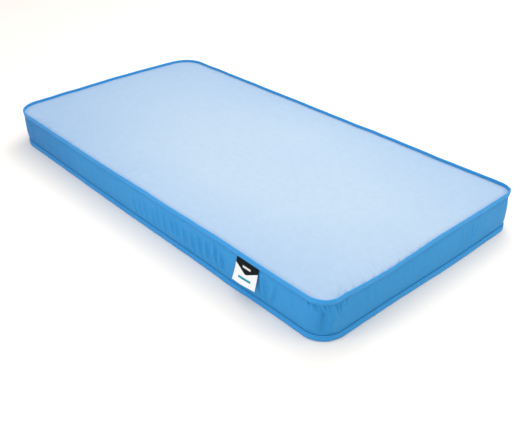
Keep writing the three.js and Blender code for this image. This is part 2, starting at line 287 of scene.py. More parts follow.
def ring_points(inset, radii, counts):
    """One ring of a panel: points and marks from the middle of the front left corner, all round."""
    points, marks = [], []
    mark = -HALF_X
    for k in range(4):
        r0, r1 = (max(radii[j % 4] - inset, 0.0004) for j in (k, k + 1))
        _, along, out, half_length, side = side_of(k)
        reach, side = half_length - inset, max(side - inset, 0)
        straight = max(2 * reach - r0 - r1, 0)
        lengths = (r0 * math.pi / 4, straight, r1 * math.pi / 4)
        share = np.arange(counts[k]) / max(counts[k], 1)
        at = share * sum(lengths)
        a0 = np.clip(at / lengths[0], 0, 1) * math.pi / 4 - math.pi / 4
        a1 = np.clip((at - lengths[0] - straight) / lengths[2], 0, 1) * math.pi / 4
        x = r0 - reach + r0 * np.sin(a0) + np.clip(at - lengths[0], 0, straight) + r1 * np.sin(a1)
        y = side - r0 * (1 - np.cos(a0)) - r1 * (1 - np.cos(a1))
        points.append(np.outer(x, along) + np.outer(y, out))
        marks.append(mark + share * 2 * half_length)
        mark += 2 * half_length
    return np.concatenate(points), np.concatenate(marks)


def panel_grid(rings, step):
    """A panel as a square-celled grid whose outer rings follow the rounded outline. rings are
    (inset, height) rows from the cloth's edge inwards; the rest is filled in at an even step."""
    inner = np.arange(rings[-1][0] + step, HALF_Y - step / 2, step)
    insets = [inset for inset, _ in rings] + list(inner) + [HALF_Y]
    heights = [height for _, height in rings] + [rings[-1][1]] * (len(inner) + 1)
    cells_y = 2 * (len(insets) - 1)
    cells_x = cells_y + int(round(2 * (HALF_X - HALF_Y) / step))
    grid = np.zeros((cells_x + 1, cells_y + 1, 3))
    marks = np.zeros((cells_x + 1, cells_y + 1))
    inset_of = np.zeros((cells_x + 1, cells_y + 1))
    for k, (inset, height) in enumerate(zip(insets, heights)):
        nx, ny = cells_x - 2 * k, cells_y - 2 * k
        i = np.concatenate([np.arange(nx), np.full(ny, nx), nx - np.arange(nx), np.zeros(ny, int)])
        j = np.concatenate([np.zeros(nx, int), np.arange(ny), np.full(nx, ny), ny - np.arange(ny)])
        if ny == 0:
            i, j = np.arange(nx + 1), np.zeros(nx + 1, int)
            x = np.linspace(-1, 1, nx + 1) * (HALF_X - inset)
            points, mark = np.column_stack([x, 0 * x]), x * HALF_X / (HALF_X - inset)
        else:
            points, mark = ring_points(inset, radii_at(height), (nx, ny, nx, ny))
        grid[i + k, j + k, :2] = points
        grid[i + k, j + k, 2] = height
        marks[i + k, j + k] = mark
        inset_of[i + k, j + k] = inset
    return grid, marks, inset_of


def grid_faces(nx, ny):
    """Quads over a grid of nx by ny points, and the points of its rim in order all round."""
    i, j = every_pair(nx - 1, range(ny - 1))
    quads = np.column_stack([i * ny + j, (i + 1) * ny + j, (i + 1) * ny + j + 1, i * ny + j + 1])
    rim = ([k * ny for k in range(nx - 1)] + [(nx - 1) * ny + k for k in range(ny - 1)]
           + [k * ny + ny - 1 for k in range(nx - 1, 0, -1)] + list(range(ny - 1, 0, -1)))
    return quads, np.array(rim)


def panel_mesh(name, grid, thickness):
    """A panel's grid as a thin solid. Its face is up, so its rows run against Y."""
    face = grid.transpose(1, 0, 2)[::-1]
    flat_x = grid[:, grid.shape[1] // 2, 0]
    return sheet_mesh(name, face, thickness, closed=False, along=flat_x)


def tube_mesh(name, path, radius, sides=6, flat=1.0):
    """A closed tube along an open path of points."""
    tangent = unit(np.gradient(path, axis=0))
    up = np.tile([0.0, 0.0, 1.0], (len(path), 1))
    up[np.abs(tangent[:, 2]) > 0.9] = [0.0, 1.0, 0.0]
    side = unit(np.cross(tangent, up))
    up = np.cross(side, tangent)
    angle = (2 * math.pi * np.arange(sides) / sides)[None, :, None]
    loop = np.cos(angle) * side[:, None] + flat * np.sin(angle) * up[:, None]
    verts = (path[:, None] + loop * radius).reshape(-1, 3)
    i, k = every_pair(len(path) - 1, range(sides))
    nxt = (k + 1) % sides
    quads = np.column_stack([i * sides + k, i * sides + nxt, (i + 1) * sides + nxt, (i + 1) * sides + k])
    made = new_object(name, verts, quads[:, ::-1])
    close_holes(made)
    return made


def edit(obj, change):
    """Runs a bmesh change on an object's mesh."""
    bm = bmesh.new()
    bm.from_mesh(obj.data)
    change(bm)
    bmesh.ops.recalc_face_normals(bm, faces=bm.faces)
    bm.to_mesh(obj.data)
    bm.free()


def close_holes(obj):
    edit(obj, lambda bm: bmesh.ops.holes_fill(bm, edges=[e for e in bm.edges if e.is_boundary]))


def apply_modifier(obj, kind, **settings):
    made = obj.modifiers.new(kind.lower(), kind)
    for key, value in settings.items():
        setattr(made, key, value)
    bpy.context.view_layer.objects.active = obj
    bpy.ops.object.modifier_apply(modifier=made.name)


def piece(obj, material, node_name, body=ROOT):
    """Gives a finished piece its material, hides the CAD part it stands for, and puts it on its body."""
    obj.data.materials.clear()
    obj.data.materials.append(material)
    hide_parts(node_name)
    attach(obj, body)


# ---- materials ----
class Look:
    """A material in the making: its nodes, and short ways to add to them."""

    def __init__(self, name):
        self.material = bpy.data.materials.new(name)
        self.material.use_nodes = True
        self.tree = self.material.node_tree
        self.shader = self.tree.nodes["Principled BSDF"]

    def plug(self, socket, value):
        if isinstance(value, bpy.types.NodeSocket):
            self.tree.links.new(value, socket)
        elif socket.type == "RGBA" and len(value) == 3:
            socket.default_value = (*value, 1)
        else:
            socket.default_value = value

    def add(self, kind, inputs, output=0, **settings):
        made = self.tree.nodes.new("ShaderNode" + kind)
        for key, value in settings.items():
            setattr(made, key, value)
        for key, value in inputs.items():
            self.plug(made.inputs[key], value)
        return made.outputs[output]

    def set(self, **inputs):
        """Sets the shader's inputs, named with _ for spaces."""
        for key, value in inputs.items():
            self.plug(self.shader.inputs[key.replace("_", " ")], value)

    def place(self, uv=False):
        """The cloth's own coordinates, or the mattress's."""
        if uv:
            return self.add("UVMap", {}, "UV", uv_map="cloth")
        return self.add("TexCoord", {}, "Object")

    def math(self, operation, a, b=0.0, clamp=False):
        return self.add("Math", {0: a, 1: b}, operation=operation, use_clamp=clamp)

    def times(self, a, b):
        return self.math("MULTIPLY", a, b)

    def plus(self, a, b):
        return self.math("ADD", a, b)

    def vector(self, operation, a, b, output=0):
        return self.add("VectorMath", {0: a, 1: b}, output, operation=operation)

    def mix(self, factor, a, b, blend="MIX"):
        return self.add("Mix", {0: factor, 6: a, 7: b}, 2, data_type="RGBA", blend_type=blend)

    def dimmed(self, colour, by):
        return self.mix(1.0, colour, by, "MULTIPLY")

    def noise(self, where, scale, detail=3.0, rough=0.5):
        inputs = {"Vector": where, "Scale": scale, "Detail": detail, "Roughness": rough}
        return self.add("TexNoise", inputs, "Fac")

    def spread(self, value, low, high):
        """Stretches a noise's middle range to 0..1."""
        return self.add("MapRange", {"Value": value, "From Min": low, "From Max": high})

    def uneven_gloss(self, where, scale, detail, low, high):
        noise = self.noise(where, scale, detail)
        self.set(Roughness=self.add("MapRange", {"Value": noise, "To Min": low, "To Max": high}))

    def bump(self, height, strength, distance, after=None):
        inputs = {"Height": height, "Strength": strength, "Distance": distance}
        if after is not None:
            inputs["Normal"] = after
        return self.add("Bump", inputs, "Normal")

    def weave(self, where, pitch, twill=0.0):
        """Height of a plain weave: two crossed sets of threads, over and under each other."""
        parts = self.add("SeparateXYZ", {0: where}, 0).node
        turn = 2 * math.pi / pitch
        x = self.times(parts.outputs[0], turn)
        y = self.times(parts.outputs[1], turn)
        if twill:
            x = self.plus(x, self.times(y, twill))
        warp = self.math("ABSOLUTE", self.math("SINE", x))
        weft = self.math("ABSOLUTE", self.math("SINE", y))
        swap = self.times(self.math("SINE", self.times(x, 0.5)), self.math("SINE", self.times(y, 0.5)))
        share = self.plus(self.times(swap, 0.5), 0.5)
        return self.plus(self.times(warp, share), self.times(weft, self.math("SUBTRACT", 1.0, share)))


def cloth_material(name, deep, pale, pitch, rough=(0.55, 0.7), sheen=0.1, weave_bump=0.3, patch=2.2,
                   ridge_tone=None, uv=True, twill=0.0, shine=0.3, middle=None):
    """Woven cloth: two tones that drift over the surface, threads as bump, with painted shade in the gaps
    between them, uneven gloss, and paler edges where folds stand out. middle is (centre, reach) of painted
    light: a painted highlight that makes the cloth paler round the centre, and painted shade that makes it
    deeper further away."""
    look = Look(name)
    whole = look.place()
    drift = look.spread(look.noise(whole, patch, 2.0), 0.35, 0.65)
    # Painted light: paler round the centre as a painted highlight, deeper further away as painted shade.
    if middle:
        centre, reach = middle
        off = look.vector("DIVIDE", look.vector("SUBTRACT", whole, centre), reach)
        far = look.vector("LENGTH", off, (0, 0, 0), "Value")
        inputs = {"Value": far, "From Min": 0.25, "From Max": 1.15, "To Min": 1.0, "To Max": 0.0}
        fade = look.add("MapRange", inputs, interpolation_type="SMOOTHSTEP")
        drift = look.plus(look.times(drift, 0.2), look.times(fade, 0.8))
    colour = look.mix(drift, deep, pale)
    mottle = look.spread(look.noise(whole, 60, 4.0, 0.6), 0.3, 0.7)
    shade = look.plus(look.times(mottle, 0.05), 0.975)
    colour = look.dimmed(colour, look.add("CombineColor", {0: shade, 1: shade, 2: shade}))
    threads = look.weave(look.place(uv), pitch, twill)
    # Painted shade: the gaps between the threads are darker.
    painted_gap_shade = look.dimmed(colour, (0.86, 0.88, 0.92))
    colour = look.mix(look.math("MULTIPLY", threads, 1.0, True), painted_gap_shade, colour)
    # Paler where the surface is convex: on fold ridges and folded edges.
    if ridge_tone:
        edge = look.add("NewGeometry", {}, "Pointiness")
        colour = look.mix(look.spread(edge, 0.52, 0.60), colour, ridge_tone)
    look.uneven_gloss(whole, 14, 3.0, *rough)
    fine = look.bump(threads, weave_bump, 0.00012)
    slow = look.bump(look.noise(whole, 35, 3.0, 0.55), 0.12, 0.0015, fine)
    look.set(Base_Color=colour, Sheen_Weight=sheen, Sheen_Roughness=0.45, Sheen_Tint=pale,
             Specular_IOR_Level=shine, Normal=slow)
    return look.material


def thread_material(name, colour):
    look = Look(name)
    whole = look.place()
    wave = {"Vector": whole, "Scale": 900.0, "Distortion": 0.0, "Detail": 1.0}
    twist = look.add("TexWave", wave, "Fac", bands_direction="DIAGONAL")
    look.uneven_gloss(whole, 300, 2.0, 0.4, 0.65)
    # Painted shade: the grooves of the twist are darker.
    look.set(Base_Color=look.mix(twist, [c * 0.75 for c in colour], colour),
             Normal=look.bump(twist, 0.4, 0.0001))
    return look.material


def label_material(name, field, sheen, edge_low, edge_tip, bars):
    """Woven satin label: a dark field whose lower edge is a blunt V, over white, with plain bars."""
    look = Look(name)
    uv = look.place(uv=True)
    parts = look.add("SeparateXYZ", {0: uv}).node
    across, down = parts.outputs[0], parts.outputs[1]
    blunt = look.math("SQRT", look.plus(look.times(across, across), 0.006))
    line = look.math("SUBTRACT", edge_tip, look.times(blunt, edge_tip - edge_low))
    colour = look.mix(look.math("LESS_THAN", down, line), LABEL_WHITE, field)
    for middle, half_height, half_width, tone in bars:
        beside = look.math("LESS_THAN", look.math("ABSOLUTE", across), half_width)
        off = look.math("ABSOLUTE", look.math("SUBTRACT", down, middle))
        inside = look.times(beside, look.math("LESS_THAN", off, half_height))
        colour = look.mix(inside, colour, tone)
    scaled = look.vector("MULTIPLY", uv, (0.0375, 0.056, 0.0))  # to metres, about
    threads = look.weave(scaled, 0.0005)
    look.uneven_gloss(scaled, 120, 2.0, 0.38, 0.55)
    # Painted shade: the gaps between the threads are darker.
    look.set(Base_Color=look.mix(threads, look.dimmed(colour, (0.88, 0.88, 0.88)), colour),
             Sheen_Weight=sheen, Specular_IOR_Level=0.07, Normal=look.bump(threads, 0.35, 0.0001))
    return look.material


def foam_material(name, deep, pale):
    look = Look(name)
    whole = look.place()
    cells = look.add("TexVoronoi", {"Vector": whole, "Scale": 700.0}, "Distance")
    drift = look.spread(look.noise(whole, 6, 3.0), 0.35, 0.65)
    colour = look.mix(cells, look.mix(drift, deep, pale), [c * 0.6 for c in deep])
    look.uneven_gloss(whole, 90, 2.0, 0.85, 1.0)
    look.set(Base_Color=colour, Normal=look.bump(cells, 0.6, 0.0006))
    return look.material


def metal_material(name, colour):
    look = Look(name)
    whole = look.place()
    rub = look.noise(whole, 450, 4.0, 0.65)
    look.uneven_gloss(whole, 160, 3.0, 0.18, 0.38)
    look.set(Base_Color=look.mix(rub, [c * 0.8 for c in colour], colour), Metallic=1.0,
             Normal=look.bump(rub, 0.08, 0.0002))
    return look.material


LABEL_WHITE = (0.80, 0.81, 0.82)
# Painted light: the panel is paler round its middle as a painted highlight, and deeper towards its edges
# and the rear as painted shade.
PANEL_CLOTH = cloth_material("panel_cloth", (0.330, 0.470, 0.66), (0.446, 0.570, 0.69), 0.0011,
                             rough=(0.5, 0.62), sheen=0.06, patch=1.8, shine=0.25,
                             middle=((0.13, 0.01, 0.1), (0.86, 0.40, 9.0)))
BASE_CLOTH = cloth_material("base_cloth", (0.46, 0.52, 0.60), (0.52, 0.57, 0.63), 0.0016,
                            rough=(0.7, 0.85), weave_bump=0.5)
# Painted light: the border is paler around x = 0.24 as a painted highlight, and deeper towards both ends
# as painted shade.
BORDER_CLOTH = cloth_material("border_cloth", (0.010, 0.165, 0.43), (0.034, 0.275, 0.595), 0.0009,
                              rough=(0.42, 0.55), sheen=0.03, ridge_tone=(0.05, 0.34, 0.68), shine=0.12,
                              middle=((0.24, 0.0, 0.05), (1.02, 9.0, 9.0)))
TAPE_CLOTH = cloth_material("binding_tape", (0.028, 0.265, 0.62), (0.038, 0.295, 0.66), 0.0012,
                            rough=(0.4, 0.55), sheen=0.03, ridge_tone=(0.06, 0.38, 0.76), twill=1.0, shine=0.15)
ZIP_CLOTH = cloth_material("zip_cloth", (0.02, 0.13, 0.36), (0.03, 0.16, 0.42), 0.0010,
                           rough=(0.5, 0.65), twill=1.0)
LINER_KNIT = cloth_material("liner_knit", (0.78, 0.75, 0.66), (0.84, 0.81, 0.73), 0.0018, uv=False)
THREAD = thread_material("thread", (0.05, 0.28, 0.50))
COIL = thread_material("zip_coil", (0.04, 0.20, 0.48))
METAL = metal_material("zip_metal", (0.62, 0.63, 0.64))
COMFORT_FOAM = foam_material("comfort_foam", (0.74, 0.66, 0.45), (0.82, 0.75, 0.55))
SUPPORT_FOAM = foam_material("support_foam", (0.48, 0.58, 0.66), (0.55, 0.64, 0.72))
TEAL = (0.02, 0.28, 0.42)
LABEL_CLOTH = label_material("label_cloth", (0.003, 0.006, 0.008), 0.0, 0.22, 0.56,
                             [(0.24, 0.045, 0.36, (0.7, 0.7, 0.7)), (0.73, 0.05, 0.55, TEAL)])
CARE_CLOTH = label_material("care_cloth", (0.62, 0.64, 0.66), 0.01, 0.10, 0.12,
                            [(0.30 + 0.13 * k, 0.018, 0.7, (0.25, 0.27, 0.3)) for k in range(5)])


# ---- folds in the border ----
def border_folds():
    """Each fold is (mark at its top, top height, bottom height, slant, half width, depth). A positive
    slant moves its lower end along the outline."""
    rng = random.Random(11)
    folds = []
    # Drag lines left of the front label.
    for k in range(14):
        place = -0.010 + 0.0285 * k + rng.uniform(-0.005, 0.005)
        top = MIDDLE + rng.uniform(0.016, 0.034)
        folds.append((place, top, top - rng.uniform(0.045, 0.062), 0.26, 0.0056, 0.0020 + 0.00025 * k))
    for k in range(7):
        place = -0.60 + 0.075 * k + rng.uniform(-0.02, 0.02)
        folds.append((place, MIDDLE + 0.034, MIDDLE - 0.03, 0.22, 0.007, 0.0005))
    # The two long ones right of it, and the one that its edge presses in.
    folds.append((0.508, LIP_EDGE - 0.006, FOOT_TOP + 0.004, 0.20, 0.0070, 0.0042))
    folds.append((0.553, LIP_EDGE - 0.008, FOOT_TOP + 0.012, -0.16, 0.0070, 0.0036))
    folds.append((0.600, LIP_EDGE - 0.004, MIDDLE - 0.005, 0.12, 0.0060, 0.0010))
    # Gathers that fan out under the lip at the front right corner.
    for k in range(10):
        share = k / 9
        place = MARK_FRONT_RIGHT - 0.062 + 0.130 * share + rng.uniform(-0.005, 0.005)
        length = 0.016 + 0.022 * math.sin(math.pi * share) + rng.uniform(-0.007, 0.007)
        slant = 0.95 - 1.15 * share + rng.uniform(-0.15, 0.15)
        depth = rng.uniform(0.0020, 0.0042)
        width = rng.uniform(0.0036, 0.0052)
        folds.append((place, LIP_EDGE + 0.006, LIP_EDGE - length, slant, width, depth))
    # The soft upright crease on that corner: a valley.
    folds.append((MARK_FRONT_RIGHT + 0.004, MIDDLE + 0.042, FOOT_TOP + 0.002, -0.05, 0.012, -0.0075))
    # Right end: a soft crease near the front, and a group of fine ones near the rear.
    folds.append((MARK_FRONT_RIGHT + 0.135, LIP_EDGE - 0.006, MIDDLE - 0.012, 0.02, 0.009, 0.0020))
    fine = ((0.452, 0.0005), (0.480, 0.0008), (0.505, 0.0010), (0.522, 0.0010), (0.556, 0.0008))
    for place, depth in fine:
        place += MARK_FRONT_RIGHT
        folds.append((place, LIP_EDGE - 0.010, MIDDLE - 0.018, -0.04, 0.0045, 1.6 * depth))
    for k in range(7):
        place = MARK_FRONT_RIGHT + 0.20 + 0.035 * k + rng.uniform(-0.01, 0.01)
        folds.append((place, LIP_EDGE - 0.004, MIDDLE + 0.01, 0.1, 0.004, 0.0004))
    # Gathers at the other corners, shallow drag lines on the rear and the left end.
    for corner in (MARK_REAR_RIGHT, MARK_REAR_LEFT, MARK_FRONT_LEFT):
        for k in range(8):
            place = corner - 0.05 + 0.014 * k + rng.uniform(-0.003, 0.003)
            folds.append((place, LIP_EDGE + 0.002, LIP_EDGE - rng.uniform(0.01, 0.03), 0.4 - 0.1 * k,
                          0.003, 0.0008))
    span = MARK_FRONT_LEFT - MARK_REAR_RIGHT - 0.2
    for k in range(46):
        place = MARK_REAR_RIGHT + 0.1 + span * (k + rng.random()) / 46
        top = MIDDLE + rng.uniform(0.02, 0.042)
        folds.append((place, top, top - rng.uniform(0.03, 0.06), rng.uniform(-0.3, 0.3), 0.005, 0.0006))
    return folds


BORDER_FOLDS = border_folds()


def fold_relief(mark, height, folds):
    """How far the folds stand out, at one height. Each is a ridge with a softer valley beside it."""
    relief = np.zeros_like(mark)
    for place, top, bottom, slant, width, depth in folds:
        t = (top - height) / (top - bottom)
        if not 0 < t < 1:
            continue
        u = gap(mark, place + slant * (top - height)) / width
        fade = math.sin(math.pi * t) ** 0.6
        relief += depth * fade * (np.exp(-(u**2)) - 0.75 * np.exp(-((u - 1.5) ** 2)))
    return relief


ZIP_DEPTH = 0.0022  # how much deeper the rear lies


def border_bend(mark, inset, height):
    """The border swells between its seams, wavers slowly, and carries the folds."""
    swell = 0.0018 * math.sin(math.pi * np.clip((height - FOOT_TOP) / (LIP_EDGE - FOOT_TOP), 0, 1))
    slow = waves(mark, [(9, 0.0004, 0.4), (19, 0.00035, 3.0), (31, 0.0003, 1.1)])
    share = smooth(FOOT_TOP - 0.002, FOOT_TOP + 0.014, height)
    share = share * smooth(LIP_EDGE + 0.003, LIP_EDGE - 0.012, height)
    ends = smooth(FOOT_TOP, FOOT_TOP + 0.01, height) * smooth(LIP_EDGE + 0.004, LIP_EDGE - 0.002, height)
    relief = fold_relief(mark, height, BORDER_FOLDS) * ends
    # The rear, which the zip keeps flat, lies a little deeper.
    rear = smooth(0.03, 0.12, mark - MARK_REAR_RIGHT) * smooth(0.03, 0.12, MARK_REAR_LEFT - mark)
    inward = rear * (ZIP_DEPTH + swell) * share - (swell * share + slow * share + relief)
    return inward, np.zeros_like(mark)


# ---- border and placket ----
BORDER_SECTION = [
    (0.0022, LIP_TOP - 0.005), (0.0023, LIP_EDGE + 0.006), (0.0028, LIP_EDGE + 0.0022),
    (0.0044, LIP_EDGE - 0.0004), (0.0036, LIP_EDGE - 0.0032), (0.0027, LIP_EDGE - 0.010),
    (0.0023, MIDDLE + 0.022), (0.0020, MIDDLE), (0.0019, MIDDLE - 0.018), (0.0023, FOOT_TOP + 0.010),
    (0.0030, FOOT_TOP + 0.0032), (0.0040, FOOT_TOP + 0.0004), (0.0030, FOOT_TOP - 0.0022),
    (0.0023, FOOT_TOP - 0.006), (0.0022, FOOT + 0.005),
]
BAND_LAP = 0.0170  # the band's ends run on under the placket and the zip


def in_rear(mark, reach):
    """Stations on the rear border whose x is within reach of the middle."""
    x = MARK_REAR_RIGHT + HALF_X - mark
    return np.flatnonzero((mark > MARK_REAR_RIGHT) & (mark < MARK_REAR_LEFT) & (np.abs(x) < reach))


def border():
    grid = around(curve_through(BORDER_SECTION, 76), border_bend)
    mark = outline(MIDDLE)[2]
    cut = in_rear(mark, PLACKET_END - BAND_LAP)
    band = np.concatenate([np.arange(cut[-1] + 1, len(mark)), np.arange(cut[0])])
    wrapped = mark[band] + np.where(band < cut[0], PERIMETER, 0)
    strip = grid[:, band].copy()
    # Both ends dip in at the seam and pass behind the placket and the zip.
    under = smooth(PLACKET_END + 0.0030, PLACKET_END - 0.0015, np.abs(strip[:, :, 0]))
    rear = strip[:, :, 1] > 0.3
    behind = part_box("zip_tape_upper")[0].y - 0.0006
    height = strip[:, :, 2]
    below_tape = smooth(LIP_EDGE + 0.004, LIP_EDGE - 0.006, height)
    above_tape = smooth(FOOT_TOP - 0.004, FOOT_TOP + 0.006, height)
    deeper = np.maximum(strip[:, :, 1] - behind, 0) * smooth(0, 1, under) * below_tape * above_tape
    strip[:, :, 1] -= np.where(rear, deeper, 0)
    made = sheet_mesh("border_cloth", strip, CLOTH, closed=False, along=wrapped)
    piece(made, BORDER_CLOTH, "border_band")


def placket(side, word):
    """One strip of the rear placket. Its edge by the zip is folded, so it stands a little proud."""
    seam = BORDER_SECTION if side > 0 else BORDER_SECTION[::-1]
    edge = MIDDLE + side * PLACKET_EDGE
    section = seam[:6] + [
        (0.0036, edge + side * 0.014), (0.0034, edge + side * 0.007),
        (0.0040, edge + side * 0.0036), (0.0030, edge + side * 0.0016), (0.0038, edge + side * 0.0001),
    ]
    rows = curve_through(section, 54)
    if side < 0:
        rows = rows[::-1]
    rng = random.Random(23 if side > 0 else 29)
    puckers = []
    for k in range(150):
        place = MARK_REAR_RIGHT + 0.08 + 0.0083 * k + rng.uniform(-0.003, 0.003)
        low, high = sorted((edge - side * 0.002, edge + side * rng.uniform(0.008, 0.016)))
        puckers.append((place, high, low, rng.uniform(-0.4, 0.4), 0.0026, 0.00035))

    def bend(mark, inset, height):
        move, lift = border_bend(mark, inset, height)
        near = 1 - smooth(0.012, 0.026, abs(height - edge))
        return move * (1 - near) - fold_relief(mark, height, puckers), lift

    grid = around(rows, bend)
    mark = outline(MIDDLE)[2]
    index = in_rear(mark, PLACKET_END - 0.001)
    strip = grid[:, index].copy()
    strip[:, 0, 0], strip[:, -1, 0] = PLACKET_END, -PLACKET_END
    turned = 1 - np.clip((PLACKET_END - np.abs(strip[:, :, 0])) / 0.003, 0, 1)
    strip[:, :, 1] -= 0.0006 * turned**2
    made = sheet_mesh("placket_cloth_" + word, strip, CLOTH, closed=False, along=mark[index])
    piece(made, BORDER_CLOTH, "zip_placket_" + word)
    low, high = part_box("zip_thread_" + word)
    placket_stitches(strip, (low.z + high.z) / 2, word)


# ---- bound seams ----
FOLD_INSET = 0.0036  # the fold's middle: the outer leg has smaller insets, and the inner leg larger ones


def tape_section(top, outwards):
    """From the outer leg's edge over the fold to the inner leg's edge. top is the fold's height, and
    outwards is 1 for the upper tape and -1 for the lower one, which is upside down."""
    leg = [
        (0.0022, TAPE_LEG), (0.0012, TAPE_LEG - 0.0006), (0.0012, TAPE_LEG - 0.0018),
        (0.0009, 0.0110), (0.0004, 0.0080), (0.0001, 0.0050), (0.0001, 0.0024), (0.0009, 0.0006),
        (0.0022, 0.0000), (0.0036, 0.0005), (0.0045, 0.0020), (0.0048, 0.0045), (0.0048, 0.0080),
    ]
    return [(inset, top - outwards * drop) for inset, drop in leg]


def corner_gathers(mark, spots):
    """Small tucks across the tape where it goes round a corner."""
    total = np.zeros_like(mark)
    for place, half, depth in spots:
        total += depth * hump(mark, place, half) * np.sin(gap(mark, place) * 2 * math.pi / 0.0095)
    return total


TUCKS = [
    (MARK_FRONT_LEFT - 0.030, 0.034, 0.0009), (MARK_REAR_LEFT - 0.004, 0.022, 0.0009),
    (MARK_FRONT_RIGHT + 0.03, 0.03, 0.0003), (MARK_REAR_RIGHT, 0.02, 0.0004),
]


def tape_bend(mark, inset, height):
    """The stitching draws the tape in, unevenly, and the fold wavers a little."""
    fold = smooth(LIP_EDGE + 0.004, LIP_TOP - 0.002, height)
    tucks = corner_gathers(mark, TUCKS)
    slow = waves(mark, [(61, 0.00012, 0.2), (103, 0.00010, 1.0)])
    # Where the tape's ends overlap, at the rear right corner, its outer leg is thicker.
    beyond = gap(mark, MARK_REAR_RIGHT)
    lap = TAPE * smooth(-0.016, -0.013, beyond) * smooth(0.010, 0.007, beyond)
    upward = (tucks * 0.6 + lap * 0.5) * fold
    if inset < FOLD_INSET:
        return -tucks * fold - slow * fold - lap, upward
    return tucks * fold - slow * fold, upward


def foot_bend(mark, inset, height):
    """The lower tape wavers, with one small notch near the front right corner."""
    slow = waves(mark, [(37, 0.0002, 0.2), (71, 0.00015, 2.0)])
    dip = 0.0020 * hump(mark, MARK_FRONT_RIGHT + 0.034, 0.012)
    share = smooth(FOOT_TOP, FOOT + 0.006, height)
    return slow * share, dip * share


def tapes():
    upper = around(curve_through(tape_section(LIP_TOP, 1), 34), tape_bend)
    made = sheet_mesh("top_tape", upper[::-1], TAPE, closed=True, along=outline(LIP_TOP)[2])
    piece(made, TAPE_CLOTH, "top_binding")
    lower = around(curve_through(tape_section(FOOT, -1), 34), foot_bend)
    made = sheet_mesh("bottom_tape", lower, TAPE, closed=True, along=outline(FOOT)[2])
    piece(made, TAPE_CLOTH, "bottom_binding")


# ---- stitches ----
# Pitch, length and thread radius of the stitches.
SEAM_STITCH = (0.0042, 0.0034, 0.00036)
PLACKET_STITCH = (0.0036, 0.0029, 0.00032)


def stitch_mesh(name, path, outward, pitch, length, radius, closed):
    """Rows of single stitches along a path: each a short bulging thread that dives in at its ends."""
    ring = np.vstack([path, path[:1]]) if closed else path
    walk = walked(ring)
    count = int(walk[-1] / pitch)
    centre = (np.arange(count) + 0.5) * walk[-1] / count
    facing = np.vstack([outward, outward[:1]]) if closed else outward

    def at(where, table):
        return np.column_stack([np.interp(where, walk, table[:, k]) for k in range(3)])

    out = unit(at(centre, facing))
    side = np.cross(unit(at(centre + length / 2, ring) - at(centre - length / 2, ring)), out)
    steps = np.linspace(-1, 1, 7)
    angle = 2 * math.pi * np.arange(6) / 6
    verts = []
    for t in steps:
        middle = at(centre + t * length / 2, ring)
        thick = radius * math.sqrt(max(1 - 0.82 * t**4, 0))
        rise = radius * (0.9 - 2.2 * t**4)
        for a in angle:
            verts.append(middle + out * (rise + thick * math.cos(a)) + side * thick * math.sin(a))
    verts = np.stack(verts, 1).reshape(-1, 3)
    quads = []
    for i in range(len(steps) - 1):
        for k in range(6):
            nxt = (k + 1) % 6
            quads.append([i * 6 + k, (i + 1) * 6 + k, (i + 1) * 6 + nxt, i * 6 + nxt])
    for base, order in ((0, 1), ((len(steps) - 1) * 6, -1)):
        loop = [base + k for k in range(6)][::order]
        quads.append([loop[0], loop[1], loop[2], loop[3]])
        quads.append([loop[0], loop[3], loop[4], loop[5]])
    quads = np.array(quads)
    offsets = (np.arange(count) * len(steps) * 6)[:, None, None]
    return new_object(name, verts, (quads[None] + offsets).reshape(-1, 4), sharp=80)


def seam_stitches(name, node_name, height, bend):
    """Stitches on a tape, just inside its outer leg's edge."""
    path = around([(0.0011, height)], bend)[0]
    normals = outline(height)[1]
    outward = np.column_stack([normals, np.zeros(len(normals))])
    made = stitch_mesh(name, path, outward, *SEAM_STITCH, closed=True)
    piece(made, THREAD, node_name)


def placket_stitches(strip, height, word):
    """Stitches on a placket strip's surface, along its row nearest a height."""
    row = np.argmin(np.abs(strip[:, :, 2].mean(axis=1) - height))
    path = strip[row, 2:-2]
    outward = np.tile([0.0, 1.0, 0.0], (len(path), 1))
    made = stitch_mesh("placket_stitches_" + word, path, outward, *PLACKET_STITCH, closed=False)
    piece(made, THREAD, "zip_thread_" + word)


# ---- panels ----
def panel_puckers():
    """(mark, length inwards, half width, depth) of each pucker that the seam draws into the panel."""
    rng = random.Random(5)
    puckers = []
    for place in (0.030, 0.052, 0.078, 0.110, 0.143, 0.172, 0.200, 0.233, 0.262, 0.285, 0.312, 0.345):
        puckers.append((MARK_FRONT_RIGHT + place, rng.uniform(0.036, 0.056), 0.0050, 0.0032))
    for low, high, pitch, length, width, depth in (
        (-0.60, 0.00, 0.0200, 0.055, 0.0052, 0.0036),
        (0.02, 0.62, 0.019, 0.022, 0.0050, 0.0005),
        (MARK_FRONT_RIGHT + 0.37, MARK_REAR_RIGHT - 0.05, 0.024, 0.026, 0.005, 0.0008),
        (MARK_REAR_RIGHT + 0.05, MARK_REAR_LEFT - 0.05, 0.021, 0.024, 0.005, 0.0005),
        (MARK_REAR_LEFT + 0.05, MARK_FRONT_LEFT - 0.03, 0.018, 0.026, 0.005, 0.0006),
    ):
        place = low
        while place < high:
            puckers.append((place, length * rng.uniform(0.7, 1.4), width * rng.uniform(0.7, 1.3),
                            depth * rng.uniform(0.5, 1.3)))
            place += pitch * rng.uniform(0.6, 1.4)
    return puckers


def pucker_relief(marks, depth_in, puckers):
    relief = np.zeros_like(marks)
    near = depth_in < 0.085
    m, d = marks[near], depth_in[near]
    total = np.zeros_like(m)
    for place, length, width, depth in puckers:
        u = gap(m, place) / (width * (1 + d / length))
        close = np.abs(u) < 4
        inwards = np.maximum(d[close], 0)
        fade = np.exp(-((inwards / length) ** 1.6)) * smooth(-0.002, 0.006, d[close])
        uc = u[close]
        total[close] += depth * fade * (np.exp(-(uc**2)) - 0.45 * np.exp(-((uc - 1.6) ** 2)))
    relief[near] = total
    return relief


SEAM_INSET = 0.0058  # where the panel leaves the tape
PANEL_STEP = 0.0035


